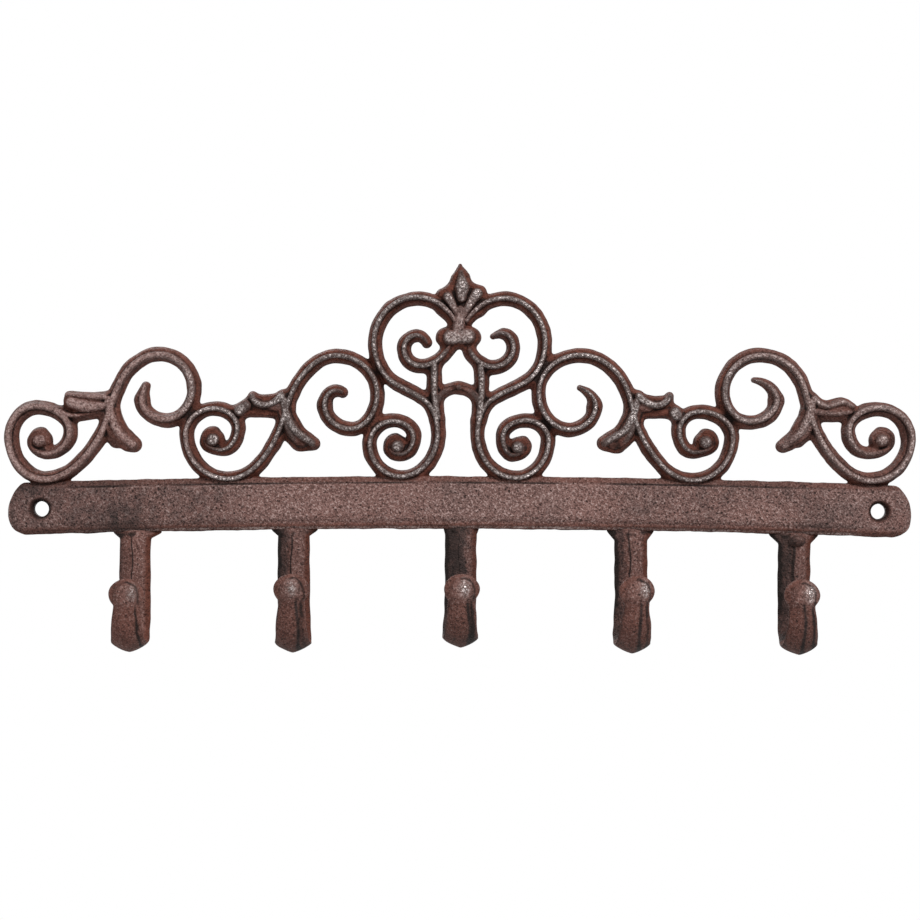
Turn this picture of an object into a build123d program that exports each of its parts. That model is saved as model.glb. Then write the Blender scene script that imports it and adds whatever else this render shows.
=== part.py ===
from build123d import *
import os
from itertools import pairwise
from math import atan2, cos, degrees, sin, sqrt

# A cast-iron wall coat rack: one casting, with a bowed rail, five hooks below it and a crest
# of scrollwork above it. It is drawn lying on its back, x to the right, y up the wall and z out
# from the wall, and stood up at the end. The origin is midway between the two screw holes,
# on the back face. Sizes are in millimetres and angles in degrees.

# Rail
rail_length = 416.0         # between the upper corners
rail_height = 24.0
rail_bow = 3.6              # rise of the middle above the ends
rail_lift = 0.5             # middle of the rail's ends above the screw holes
rail_end_bulge = 6.5        # how far the rounded ends stand out past the upper corners
rail_lower_bulge = 3.5      # how far the lower corners do
rail_corner = 5.0
rail_thickness = 7.0
panel_margin = 2.8          # raised panel, in from the rail's edges
panel_thickness = 8.4
panel_end_gap = 9.0         # from the screw holes to the panel's ends

# Screw holes
screw_inset = 8.0           # in from the rail's upper corners
screw_diameter = 7.4
screw_rim_diameter = 11.4
screw_rim_angle = 90.0

# Hooks
hook_inset = 51.0           # outer hooks, in from the rail's upper corners
hook_drift = (2.2, -0.3, 0.5, 3.0, 2.5)     # each hook's own place along the rail
hook_turn = (0.0, 0.0, 2.0, 1.5, 0.0)       # each hook's turn about its stem
hook_width = 15.4
hook_taper = 0.82           # the tip's width and thickness, as a share of the stem's
hook_thickness = 9.2
hook_edge = 5.8             # thickness along the sides, where the two outer facets end
hook_drop = 57.5            # from the rail's lower edge to the lowest point
hook_gap = 16.5             # room between the stem and the tip
hook_bury = 6.0             # length of the stem that runs up into the rail
knob_diameter = 16.4
knob_thickness = 11.0
knob_slope = 32.0           # of its faces, in from the rim
knob_rise = 11.5            # centre of the knob above the bend's centre
flare_width = 23.0          # root of the stem at the rail's lower edge
flare_height = 5.0
flare_thickness = 6.4
flare_bite = 1.0            # how far the flare's lower end runs into the stem's sides

# Scrollwork section: a plain bar, flat at the back
bar_width = 6.8
bar_depth = 9.0
tip_nose = 0.35             # length of the blunt nose past a free end, as a share of its width
nose_width = 0.5            # width of its end, as the same share
eye_diameter = 12.6         # at the back
eye_slope = 16.0
eye_depth = 8.4
round_sides = 10            # facets of the eyes and the knobs

# Scrolls: places of the rings' feet
scroll_foot = 2.1           # feet above the rail's upper corners
crown_half_gap = 27.5       # from the middle to the feet of the crown's scrolls
crown_pitch = 82.5          # from the crown's feet to the next ones
scroll_pitch = 86.0         # from those to the feet of the end scrolls
end_scroll_inset = 12.0     # from those to the rail's corners
crown_lift = 1.0            # feet of the crown above the other feet

# Scroll curves from the ring's foot: quadrant points of the ring, from its eye outwards,
# and of the loop that follows it
end_ring = ((-4.0, 13.4), (10.7, 24.4), (-4.5, 34.4), (-19.2, 19.7), (0, 0))
end_loop = ((53.0, 59.6), (69.5, 43.4), (55.7, 28.0), (44.5, 38.2))
mid_ring = ((-8.0, 14.2), (4.6, 23.7), (-6.5, 33.4), (-20.3, 20.9), (0, 0))
mid_loop = ((51.7, 59.4), (71.0, 41.4), (58.0, 24.2), (45.6, 35.9))
crown_ring = ((-3.0, 11.2), (5.9, 18.7), (-4.0, 27.4), (-15.3, 15.7), (0, 0), (17.9, 20.4))
crown_loop = ((-12.8, 64.4), (7.0, 85.6))
end_eye = (-4.5, 19.2)
mid_eye = (-8.4, 18.9)
crown_eye = (-1.0, 14.4)
scroll_fullness = 0.425     # how far the S between ring and loop leans over, 0 to 1
crown_fullness = 0.62
ring_share = 0.5            # the ring's share of the two radii in that S
neck_radius = 18.0          # the crown's loops, where they run down to its neck
neck_turn = 65.0

# Free ends of the loops: radius, turn and end width, for the left and the right scroll
end_bends = ((20.0, 22.0, 4.8), (9.8, 100.0, 2.8))
mid_bends = ((6.4, 108.0, 5.6), (10.0, 75.0, 2.8))

# Crown: curls beside the neck, with struts and an arch below them
curl_points = ((7.5, 68.4), (0.5, 62.1), (9.5, 53.4))   # top, side and bottom, from the crown's foot
curl_sweep = 68.0           # turn from the curl's bottom up to the neck
curl_sweep_radius = 15.0
curl_lead = 4.0
curl_bends = ((4.6, 82.0, 5.0), (9.0, 36.0, 2.8))
strut_place = 15.8          # from the crown's foot
strut_top = 54.0
strut_length = 18.0
arch_height = 42.8          # top of the arch above the crown's foot
arch_radius = 8.0

# Leaves where ring and loop part, from the ring's foot. A tail runs down inside the loop:
# start, heading, radius, turn and the widths of its two ends
end_tail = ((29.7, 39.4), -92.0, 30.0, 52.0, (6.0, 7.4))
mid_tail = ((27.4, 38.0), -95.0, 23.0, 64.0, (7.4, 10.0))
# A head lies between the S and the ring: outline of its plate
end_head = ((28, 42.4), (20, 40.6), (9.5, 41.6), (8.5, 39.6), (9.7, 30.4), (16, 27.7), (26, 27.4))
mid_head = (
    (26, 44.4), (19, 41.4), (10.7, 42.6), (9.2, 39.8), (4, 38.2), (0, 34.8), (5.5, 28.4), (12, 30), (23, 29.4),
)
# Lobes of the tail and the head: start, end and width
end_lobes = (((29.8, 27.0), (33.0, 19.6), 6.4), ((9.0, 39.0), (27.5, 35.6), 7.6))
mid_lobes = (
    ((26.8, 25.4), (31.2, 16.6), 7.0), ((9.8, 41.2), (24.5, 35.4), 7.0), ((2.0, 35.2), (9.8, 32.6), 7.0),
)

# Finial, from the neck where the crown's scrolls meet: right half of its plate's outline, and its lobes
finial_half = (
    (0, -12.6), (5.5, -12.6), (11.2, -8.6), (10.2, -4.8), (6.6, -2.8), (5.6, 0.4), (6.5, 3.2), (11.4, 13),
    (9.4, 16), (5.6, 17.6), (4.9, 20.7), (3.2, 24.4), (0, 27.8),
)
finial_drop = ((0, 25.7), (0, 9.2), 6.6)
finial_neck = ((0, 12.2), (0, -5.8), 6.4)
finial_petal = ((8.4, 14.2), (1.2, 3.2), 6.0)
cross_bead = ((-10.0, -7.3), (10.0, -7.3), 8.0)
leaf_depth = 6.0            # plates of the leaf heads and the finial
lobe_end = 0.4              # width of a lobe's ends, as a share of its middle
lobe_drop = 2.4             # how far a lobe's ends sink below its middle
lobe_roof = 0.5             # rise of a lobe's roof, as a share of its width


def quarters(points, side, along_x=True):
    """Arcs through the quadrant points of a volute: each quarter turn is two tangent 45 degree arcs."""
    moves = []
    for (x0, y0), (x1, y1) in pairwise(points):
        ahead, across = abs(x1 - x0), abs(y1 - y0)
        if not along_x:
            ahead, across = across, ahead
        along_x = not along_x
        first = ahead + (ahead - across) / sqrt(2)
        second = across + (across - ahead) / sqrt(2)
        moves += [(first, 45 * side), (second, 45 * side)]
    return moves


def crossing(start, end, fullness, along_x=True):
    """The S from ring to loop: an arc, a straight and a counter-arc, with both ends parallel."""
    ahead, across = abs(end[0] - start[0]), abs(end[1] - start[1])
    if not along_x:
        ahead, across = across, ahead
    lean = (1 + fullness) * atan2(across, ahead)
    radii = (ahead * sin(lean) - across * cos(lean)) / (1 - cos(lean))
    straight = (across * (1 + cos(lean)) - ahead * sin(lean)) / sin(lean)
    turn = degrees(lean)
    return [(radii * ring_share, turn), (straight, 0), (radii * (1 - ring_share), -turn)]


def stroke(start, heading, moves, hand=1):
    """A line of tangent arcs (radius, turn) and straights (length, 0); hand -1 mirrors it."""
    at = Vector(start[0] * hand, start[1])
    to = Vector(hand, 0).rotate(Axis.Z, heading * hand)
    with BuildLine() as line:
        for size, turn in moves:
            piece = JernArc(at, to, size, turn * hand) if turn else Line(at, at + to * size)
            at, to = piece @ 1, piece % 1
    return line.line


def section(at, to, width, depth, roof=0):
    """A section across a line, flat at the back, with upright sides and a flat front or a roof."""
    half, side = width / 2, depth - width * roof
    ridge = [(0, depth)] if roof else []
    with BuildSketch(Plane(at, x_dir=to.rotate(Axis.Z, 90), z_dir=to)) as profile:
        with BuildLine():
            Polyline((-half, 0), (half, 0), (half, side), *ridge, (-half, side), close=True)
        make_face()
    return profile.sketch


def bar(line):
    """A bar of even width along a line."""
    with BuildPart() as run:
        sweep(section(line @ 0, line % 0, bar_width, bar_depth), path=line)
    return run.part


def tip(line, start_width, end_width):
    """The free end of a bar, which changes its width along an arc and ends in a blunt nose."""
    edges = []
    for side in (-1, 1):
        edge = []
        for share in (0, 0.5, 1):
            half = (start_width + (end_width - start_width) * share) / 2
            edge.append(line @ share + (line % share).rotate(Axis.Z, 90) * half * side)
        edges.append(edge)
    right, left = edges
    ahead, across = (line % 1) * end_width * tip_nose, (left[-1] - right[-1]) * nose_width / 2
    nose = line @ 1 + ahead
    with BuildPart() as run:
        with BuildSketch():
            with BuildLine():
                ThreePointArc(*right)
                Polyline(right[-1], nose - across, nose + across, left[-1])
                ThreePointArc(*reversed(left))
                Line(left[0], right[0])
            make_face()
        extrude(amount=bar_depth)
    return run.part


def lobe(start, end, width):
    """A boat-shaped lobe between two points, highest and widest in the middle."""
    start, end = Vector(*start), Vector(*end)
    to = (end - start).normalized()
    slim, low = width * lobe_end, bar_depth - lobe_drop
    with BuildPart() as run:
        loft([
            section(start, to, slim, low, lobe_roof),
            section((start + end) / 2, to, width, bar_depth, lobe_roof),
            section(end, to, slim, low, lobe_roof),
        ], ruled=True)
    return run.part


def plate(points):
    """A flat plate with a straight-sided outline."""
    with BuildPart() as run:
        with BuildSketch():
            with BuildLine():
                Polyline(*points, close=True)
            make_face()
        extrude(amount=leaf_depth)
    return run.part


def boss(at):
    """The eye of a ring."""
    with BuildPart() as run:
        with BuildSketch():
            with Locations(at):
                RegularPolygon(eye_diameter / 2, round_sides)
        extrude(amount=eye_depth, taper=eye_slope)
    return run.part


def fused(pieces):
    """Pieces joined one after another."""
    with BuildPart() as body:
        for piece in pieces:
            add(piece, clean=False)
    return body.part


def placed(points, foot, hand=1):
    """Points given from a foot, set in place along the rail; hand -1 mirrors them."""
    return [(hand * stretch * (foot[0] + x), foot[1] + y) for x, y in points]


rail_top = rail_lift + rail_height / 2
rail_base = rail_lift - rail_height / 2
corner_x = rail_length / 2
lower_x = corner_x + rail_lower_bulge
screw_x = corner_x - screw_inset
hook_pitch = (corner_x - hook_inset) / 2
crown_foot = (-crown_half_gap, rail_top + scroll_foot + crown_lift)
mid_foot = (crown_foot[0] - crown_pitch, rail_top + scroll_foot)
end_foot = (mid_foot[0] - scroll_pitch, rail_top + scroll_foot)
stretch = corner_x / (end_scroll_inset - end_foot[0])   # spreads the scrollwork over the rail


def scroll(foot, ring, loop, eye, tail, head, lobes):
    """A left-hand S-scroll, from its eye to the end of its loop, with the leaves where the two part."""
    ring, loop = placed(ring, foot), placed(loop, foot)
    moves = quarters(ring, 1) + crossing(ring[-1], loop[0], scroll_fullness) + quarters(loop, -1)
    pieces = [bar(stroke(ring[0], 0, moves)), boss(*placed([eye], foot)), plate(placed(head, foot))]
    start, heading, radius, turn, widths = tail
    pieces.append(tip(stroke(*placed([start], foot), heading, [(radius, turn)]), *widths))
    pieces += [lobe(*placed(ends, foot), width) for *ends, width in lobes]
    return fused(pieces)


def crown_scroll():
    """The line of the tall left-hand scroll of the crown, from its eye to the neck of the finial."""
    ring, loop = placed(crown_ring, crown_foot), placed(crown_loop, crown_foot)
    moves = quarters(ring, 1) + crossing(ring[-1], loop[0], crown_fullness, along_x=False)
    moves += quarters(loop, -1, along_x=False) + [(neck_radius, -neck_turn)]
    return stroke(ring[0], 0, moves)


def crown_curl():
    """The curl inside a crown scroll, from its top round to the neck."""
    points = placed(curl_points, crown_foot)
    moves = quarters(points, 1) + [(curl_sweep_radius, curl_sweep), (curl_lead, 0)]
    return bar(stroke(points[0], 180, moves))


def loop_end(loop, foot, heading, bend, hand):
    """The free end of a loop or a curl."""
    start, (radius, turn, end_width) = placed(loop, foot)[-1], bend
    return tip(stroke(start, heading, [(radius, -turn)], hand), bar_width, end_width)


def rail_outline(inset):
    """The rail's outline, moved in from its edges."""
    top, base = rail_top - inset, rail_base + inset
    upper, lower, end = corner_x - inset, lower_x - inset, corner_x + rail_end_bulge - inset
    with BuildSketch() as outline:
        with BuildLine():
            ThreePointArc((-upper, top), (0, top + rail_bow), (upper, top))
            ThreePointArc((-lower, base), (0, base + rail_bow), (lower, base))
            for side in (-1, 1):
                ThreePointArc((side * upper, top), (side * end, rail_lift), (side * lower, base))
        make_face()
        fillet(outline.vertices().group_by(Axis.Y)[0], rail_corner - inset)
    return outline.sketch


# The left half of the scrollwork, mirrored, and the free ends, which differ from left to right
end_scroll = scroll(end_foot, end_ring, end_loop, end_eye, end_tail, end_head, end_lobes)
mid_scroll = scroll(mid_foot, mid_ring, mid_loop, mid_eye, mid_tail, mid_head, mid_lobes)
crown_line = crown_scroll()
neck = (0, (crown_line @ 1).Y)
crown_half = fused([
    bar(crown_line),
    crown_curl(),
    bar(stroke(*placed([(strut_place, strut_top)], crown_foot), -90, [(strut_length, 0)])),
    boss(*placed([crown_eye], crown_foot)),
    lobe(*placed(finial_petal[:2], neck, -1), finial_petal[2]),
])
free_ends = []
for hand, end_bend, mid_bend, curl_bend in zip((1, -1), end_bends, mid_bends, curl_bends):
    free_ends.append(loop_end(end_loop, end_foot, 90, end_bend, hand))
    free_ends.append(loop_end(mid_loop, mid_foot, 90, mid_bend, hand))
    free_ends.append(loop_end(curl_points[:1], crown_foot, 0, curl_bend, hand))

# The middle of the crown
arch_half = stretch * (crown_half_gap - strut_place)
arch_start = (-arch_half, crown_foot[1] + arch_height - arch_radius)
arch_moves = [(arch_radius, -90), (2 * (arch_half - arch_radius), 0), (arch_radius, -90)]
finial_left = [(-x, y) for x, y in reversed(finial_half) if x]
crown_middle = [bar(stroke(arch_start, 90, arch_moves)), plate(placed((*finial_half, *finial_left), neck))]
crown_middle += [lobe(*placed(ends, neck), width) for *ends, width in (finial_drop, finial_neck, cross_bead)]

with BuildPart() as scrollwork:
    for piece in (end_scroll, mid_scroll, crown_half):
        add(piece, clean=False)
    mirror(about=Plane.YZ)
    for piece in (*crown_middle, *free_ends):
        add(piece, clean=False)

# Rail, with its raised panel
with BuildPart() as rail:
    extrude(rail_outline(0), amount=rail_thickness)
    with BuildSketch():
        add(rail_outline(panel_margin))
        Rectangle(2 * (screw_x - panel_end_gap), 2 * rail_height, mode=Mode.INTERSECT)
    extrude(amount=panel_thickness)

# One hook, with its stem at x = 0 and the lower edge of the rail's ends at its root
with BuildPart() as hook:
    stem_z = hook_thickness / 2
    bend_radius = (hook_gap + hook_thickness) / 2
    bend_y = rail_base - hook_drop + hook_thickness / 2 + bend_radius
    bend_z = stem_z + bend_radius
    knob = Vector(0, bend_y + knob_rise, bend_z + bend_radius)
    half, keel = hook_width / 2, hook_thickness / 2
    shoulder = keel - hook_edge
    with BuildSketch(Plane((0, bend_y, stem_z), x_dir=(1, 0, 0), z_dir=(0, -1, 0))) as profile:
        with BuildLine():
            Polyline((-half, keel), (-half, shoulder), (0, -keel), (half, shoulder), (half, keel), close=True)
        make_face()
    extrude(amount=bend_y - rail_base - hook_bury)
    revolve(profile.sketch, Axis((0, bend_y, bend_z), (-1, 0, 0)), 180)
    with BuildSketch(Plane((0, bend_y, knob.Z), x_dir=(1, 0, 0), z_dir=(0, 1, 0))) as arm:
        add(profile.sketch_local)
    with BuildSketch(Plane(knob, x_dir=(1, 0, 0), z_dir=(0, 1, 0))) as arm_end:
        add(scale(profile.sketch_local, by=hook_taper, mode=Mode.PRIVATE))
    loft([arm.sketch, arm_end.sketch], ruled=True)
    for side in (-1, 1):
        with BuildSketch(Plane(knob, x_dir=(1, 0, 0), z_dir=(0, 0, side))):
            RegularPolygon(knob_diameter / 2, round_sides)
        extrude(amount=knob_thickness / 2, taper=knob_slope)
    with BuildSketch(Plane.XY.offset((hook_thickness - flare_thickness) / 2)):
        with BuildLine():
            wide, slim = flare_width / 2, hook_width / 2 - flare_bite
            top, foot = rail_base + hook_bury, rail_base - flare_height
            Polyline(
                (-wide, top), (-wide, rail_base), (-slim, foot), (slim, foot), (wide, rail_base), (wide, top),
                close=True,
            )
        make_face()
    extrude(amount=flare_thickness)

# The casting, lying on its back
hook_places = []
for n, (drift, turn) in enumerate(zip(hook_drift, hook_turn)):
    x = (n - 2) * hook_pitch + drift
    hook_places.append(Location((x, rail_bow * (1 - (x / lower_x) ** 2), 0), (0, turn, 0)))

with BuildPart() as casting:
    add(rail.part)
    for place in hook_places:
        add(hook.part.moved(place), clean=False)
    add(scrollwork.part, clean=False)
    with Locations((-screw_x, 0, rail_thickness), (screw_x, 0, rail_thickness)):
        CounterSinkHole(screw_diameter / 2, screw_rim_diameter / 2, counter_sink_angle=screw_rim_angle)

# The rack, stood up against the wall
with BuildPart() as coat_rack:
    add(casting.part, rotation=(90, 0, 0))

os.makedirs("parts", exist_ok=True)
coat_rack.part.label = "coat_rack"
export_step(coat_rack.part, "parts/coat_rack.step")
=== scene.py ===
import bpy
import numpy as np
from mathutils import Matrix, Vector
from mathutils.geometry import delaunay_2d_cdt


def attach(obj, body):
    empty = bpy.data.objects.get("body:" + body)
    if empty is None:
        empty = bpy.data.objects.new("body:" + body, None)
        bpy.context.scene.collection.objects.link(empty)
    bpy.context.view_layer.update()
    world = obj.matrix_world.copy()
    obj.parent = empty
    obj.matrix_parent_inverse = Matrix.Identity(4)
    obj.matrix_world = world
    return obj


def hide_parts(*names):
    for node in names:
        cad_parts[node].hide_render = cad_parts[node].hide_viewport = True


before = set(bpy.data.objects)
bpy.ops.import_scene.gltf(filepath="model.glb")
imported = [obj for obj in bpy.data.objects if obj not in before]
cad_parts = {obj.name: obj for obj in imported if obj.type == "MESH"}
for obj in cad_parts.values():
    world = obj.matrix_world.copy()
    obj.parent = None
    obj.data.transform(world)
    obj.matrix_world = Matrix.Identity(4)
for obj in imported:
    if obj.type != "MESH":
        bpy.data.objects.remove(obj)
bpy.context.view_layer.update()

# A cast-iron wall coat rack. Lengths here are in millimetres: x to the right, z up the wall, and
# depth out from the wall, which is -y in the frame. The rail and the scrollwork are reliefs with a
# flat back, as a sand casting is, and the hooks are sections carried along a bent line.

MILLIMETRE = 0.001
SPREAD = 1.0045             # the scroll lines are as they show from the front; they lie this much further out
GOLDEN_ANGLE = 2.399963     # in radians
RIM_ROOM = 0.49             # the farthest that a point of a relief's rim moves, in cells
BAR_WIDTH = 7.0             # bars of the scrollwork
BAR_TOP = 9.0


def soft_max(a, b, blend):
    """The larger of two heights, with a fillet where they are within blend of each other."""
    return np.maximum(a, b) + np.clip(blend - np.abs(a - b), 0, None) ** 2 / (4 * blend)


def soft_min(a, b, blend):
    """The smaller of two heights, rounded in the same way."""
    return -soft_max(-a, -b, blend)


def step(low, high, value):
    """0 below low, 1 above high, and a smooth rise between."""
    t = np.clip((value - low) / (high - low), 0, 1)
    return t * t * (3 - 2 * t)


def band(value, centre, half):
    """A bell curve: 1 where the value is at the centre, and 1/e at half away from it."""
    return np.exp(-((value - centre) / half) ** 2)


def unevenness(x, z, size, seed):
    """A wavy surface of about -1 to 1: the sum of seven sine waves of about that size, in directions spread
    by the golden angle."""
    total = np.zeros(np.broadcast(x, z).shape)
    for k in range(7):
        angle = GOLDEN_ANGLE * (k + seed)
        wave = 2 * np.pi / (size * (0.7 + 0.13 * k))
        total += np.sin(wave * (x * np.cos(angle) + z * np.sin(angle)) + 1.7 * k * seed)
    return total / 3.2


# Bars of the scrollwork

def line(nodes, hand, pitch=0.3):
    """A smooth line through nodes (x, z, heading in degrees). Each stretch is a cubic whose handles are
    those of an arc with the same turn, scaled to the chord's reach along each end's heading."""
    spans, places = [], []
    for k, ((x0, z0, a0), (x1, z1, a1)) in enumerate(zip(nodes, nodes[1:])):
        start, end = np.array([x0, z0]), np.array([x1, z1])
        first, last = np.radians(a0), np.radians(a1)
        leave = np.array([np.cos(first), np.sin(first)])
        arrive = np.array([np.cos(last), np.sin(last)])
        turn = max(abs(last - first), 0.01)
        handle = 4 / 3 * np.tan(turn / 4) / np.sin(turn)
        chord = end - start
        near = start + leave * handle * abs(chord @ leave)
        far = end - arrive * handle * abs(chord @ arrive)
        u = np.linspace(0, 1, max(4, int(np.hypot(*chord) / pitch)), endpoint=False)[:, None]
        v = 1 - u
        spans.append(v ** 3 * start + 3 * v ** 2 * u * near + 3 * v * u ** 2 * far + u ** 3 * end)
        places.append(k + u[:, 0])
    path = np.concatenate(spans + [np.array([nodes[-1][:2]], float)])
    place = np.concatenate(places + [np.array([len(nodes) - 1.0])])
    return path * (SPREAD * hand, 1), place


def bar(nodes, width=BAR_WIDTH, top=BAR_TOP, crest=0.4, hand=1, shift=0.0):
    """A bar along a line: its path, half width, height of its crest, half width of the crest and how far
    the crest lies to the left of the line. Each is a single value or one for each node."""
    path, place = line(nodes, hand)
    knots = np.arange(len(nodes))

    def along(values):
        return np.interp(place, knots, np.broadcast_to(values, knots.shape))

    half = along(width) / 2
    return path, half, along(top), half * along(crest), along(shift) * hand


def dot(x, z, width, top, crest=0.6, hand=1):
    """A round boss: a bar with no length to speak of."""
    return bar([(x - 0.1, z, 0), (x + 0.1, z, 0)], width, top, crest, hand)


def nearest(points, path):
    """Each point's distance from a line of samples, measured square to the line except past its two ends,
    with its side of the line as a sign, left being positive, and the number of the nearest sample."""
    tangent = np.gradient(path, axis=0)
    tangent /= np.linalg.norm(tangent, axis=1, keepdims=True)
    square = (path ** 2).sum(1)
    place = np.empty(len(points), int)
    for block in range(0, len(points), 8192):
        part = points[block:block + 8192]
        place[block:block + 8192] = (square - 2 * part @ path.T).argmin(1)
    gap = points - path[place]
    ahead = (gap * tangent[place]).sum(1)
    left = gap[:, 1] * tangent[place, 0] - gap[:, 0] * tangent[place, 1]
    past = ((place == 0) & (ahead < 0)) | ((place == len(path) - 1) & (ahead > 0))
    return np.where(past, np.hypot(left, ahead), np.abs(left)), np.sign(left), place


def lay(bars, x, z, fillet=2.2):
    """Lays bars on a grid. Gives how deep each point is inside their outline, by the soft maximum of half
    width less distance, and the height of the crests, each falling as the fourth power of the distance from
    its own line."""
    inside = np.full((len(x), len(z)), -9.0)
    crests = np.zeros_like(inside)
    for path, half, top, crest, shift in bars:
        reach = half.max() + 4
        low, high = path.min(0) - reach, path.max(0) + reach
        across = slice(*np.searchsorted(x, (low[0], high[0])))
        up = slice(*np.searchsorted(z, (low[1], high[1])))
        grid = np.stack(np.meshgrid(x[across], z[up], indexing="ij"), -1)
        away, side, place = (f.reshape(grid.shape[:2]) for f in nearest(grid.reshape(-1, 2), path))
        inside[across, up] = soft_max(inside[across, up], half[place] - away, fillet)
        off = np.abs(away * side - shift[place])
        ridge = top[place] - 1.1 * (off / crest[place]) ** 4
        crests[across, up] = soft_max(crests[across, up], np.clip(ridge, 0, None), 0.35)
    return inside, crests


def window_mean(field, axis, cells):
    """The mean over 2 cells + 1 neighbours along an axis, from the difference of running sums."""
    pad = [(cells + 1, cells) if a == axis else (0, 0) for a in (0, 1)]
    total = np.cumsum(np.pad(field, pad), axis)
    count = field.shape[axis]
    ahead = np.take(total, np.arange(2 * cells + 1, 2 * cells + 1 + count), axis)
    behind = np.take(total, np.arange(0, count), axis)
    return (ahead - behind) / (2 * cells + 1)


def blurred(field, inside, cells):
    """The mean of a field over a square of cells, taken three times, with only the points inside counted."""
    mask = (inside > 0).astype(float)
    value = field * mask
    for _ in range(3):
        for axis in (0, 1):
            value, mask = window_mean(value, axis, cells), window_mean(mask, axis, cells)
    return value / np.maximum(mask, 1e-6)


def sampled(field, x, z, px, pz):
    """Values of a grid's field at free points, by bilinear interpolation."""
    i = (px - x[0]) / (x[1] - x[0])
    j = (pz - z[0]) / (z[1] - z[0])
    i0 = np.clip(i.astype(int), 0, len(x) - 2)
    j0 = np.clip(j.astype(int), 0, len(z) - 2)
    u, v = i - i0, j - j0
    return (
        field[i0, j0] * (1 - u) * (1 - v) + field[i0 + 1, j0] * u * (1 - v)
        + field[i0, j0 + 1] * (1 - u) * v + field[i0 + 1, j0 + 1] * u * v
    )


def make_piece(name, verts, faces, flat, looks):
    """A mesh piece that stands for the casting, with its looks as vertex attributes."""
    mesh = bpy.data.meshes.new(name)
    mesh.from_pydata((verts * MILLIMETRE).tolist(), [], faces)
    mesh.shade_smooth()
    if flat is not None:
        mesh.attributes.new("sharp_face", "BOOLEAN", "FACE").data.foreach_set("value", flat)
    for look, values in looks.items():
        mesh.attributes.new(look, "FLOAT", "POINT").data.foreach_set("value", values.astype(np.float32))
    piece = bpy.data.objects.new(name, mesh)
    bpy.context.collection.objects.link(piece)
    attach(piece, "root")
    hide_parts("coat_rack")
    piece.data.materials.append(iron)
    return piece


def within_rim(triangles, rim, count):
    """Triangles on the casting's side of the rim: those that hold a rim edge in its own direction, and then,
    step by step, those that share any other edge with one of them."""
    ends = np.roll(triangles, -1, 1)
    code, twin = triangles * count + ends, ends * count + triangles
    rim_code = rim[:, 0] * count + rim[:, 1]
    keep = np.isin(code, rim_code).any(1)
    shared = ~np.isin(code, rim_code) & ~np.isin(twin, rim_code)
    while True:
        grown = keep | (np.isin(twin, code[keep]) & shared).any(1)
        if (grown == keep).all():
            return triangles[keep]
        keep = grown


def relief(name, x, z, inside, height, looks, back_depth=0.0):
    """A closed relief from grids of outline depth and height. Cells whose middle is inside are kept, the
    points along their edge move onto the outline down the gradient, by less than half a cell so that none
    meet, the height stands out from the wall, and side walls and a triangulated flat back close it."""
    keep = (inside[:-1, :-1] + inside[1:, :-1] + inside[:-1, 1:] + inside[1:, 1:]) > 0
    for _ in range(2):
        a, b, c, d = keep[:-1, :-1], keep[1:, :-1], keep[:-1, 1:], keep[1:, 1:]
        pinch = (a & d & ~b & ~c) | (b & c & ~a & ~d)
        keep[:-1, :-1] |= pinch
        keep[1:, :-1] |= pinch
    i, j = np.nonzero(keep)
    rows = len(z)
    corners = np.stack([i * rows + j, (i + 1) * rows + j, (i + 1) * rows + j + 1, i * rows + j + 1], 1)
    used, cell = np.unique(corners, return_inverse=True)
    cell = cell.reshape(-1, 4)
    px, pz = x[used // rows].copy(), z[used % rows].copy()

    # Edges with a kept cell on one side only run round the outline, with the casting on their left
    edges = np.concatenate([cell[:, [k, (k + 1) % 4]] for k in range(4)])
    code = edges[:, 0] * len(used) + edges[:, 1]
    back_code = edges[:, 1] * len(used) + edges[:, 0]
    rim = edges[~np.isin(code, back_code)]
    on_rim = np.unique(rim)
    slope_x, slope_z = np.gradient(inside, x, z)
    room_x, room_z = RIM_ROOM * (x[1] - x[0]), RIM_ROOM * (z[1] - z[0])
    home_x, home_z = px[on_rim], pz[on_rim]
    for _ in range(3):
        depth = sampled(inside, x, z, px[on_rim], pz[on_rim])
        gx = sampled(slope_x, x, z, px[on_rim], pz[on_rim])
        gz = sampled(slope_z, x, z, px[on_rim], pz[on_rim])
        move = depth / np.maximum(gx ** 2 + gz ** 2, 0.05)
        px[on_rim] = np.clip(px[on_rim] - move * gx, home_x - room_x, home_x + room_x)
        pz[on_rim] = np.clip(pz[on_rim] - move * gz, home_z - room_z, home_z + room_z)

    out = sampled(height, x, z, px, pz)
    front = np.stack([px, -out, pz], 1)
    number = np.full(len(used), -1)
    number[on_rim] = np.arange(len(on_rim)) + len(used)
    foot = np.stack([px[on_rim], np.full(len(on_rim), -back_depth), pz[on_rim]], 1)
    wall = np.stack([rim[:, 1], rim[:, 0], number[rim[:, 0]], number[rim[:, 1]]], 1)

    flat_points = [Vector((a, b)) for a, b in zip(px[on_rim], pz[on_rim])]
    loops = number[rim] - len(used)
    _, _, filled, origin, _, _ = delaunay_2d_cdt(flat_points, loops.tolist(), [], 1, 1e-6)
    origin = np.array([numbers[0] for numbers in origin])
    back = within_rim(origin[np.array(filled)], loops, len(on_rim))[:, ::-1] + len(used)

    faces = cell.tolist() + wall.tolist() + back.tolist()
    flat = np.zeros(len(faces), bool)
    flat[len(cell) + len(wall):] = True
    verts = np.concatenate([front, foot])
    values = {}
    for look, field in looks.items():
        value = sampled(field, x, z, px, pz)
        values[look] = np.concatenate([value, value[on_rim]])
    return make_piece(name, verts, faces, flat, values)


# Materials

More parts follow.
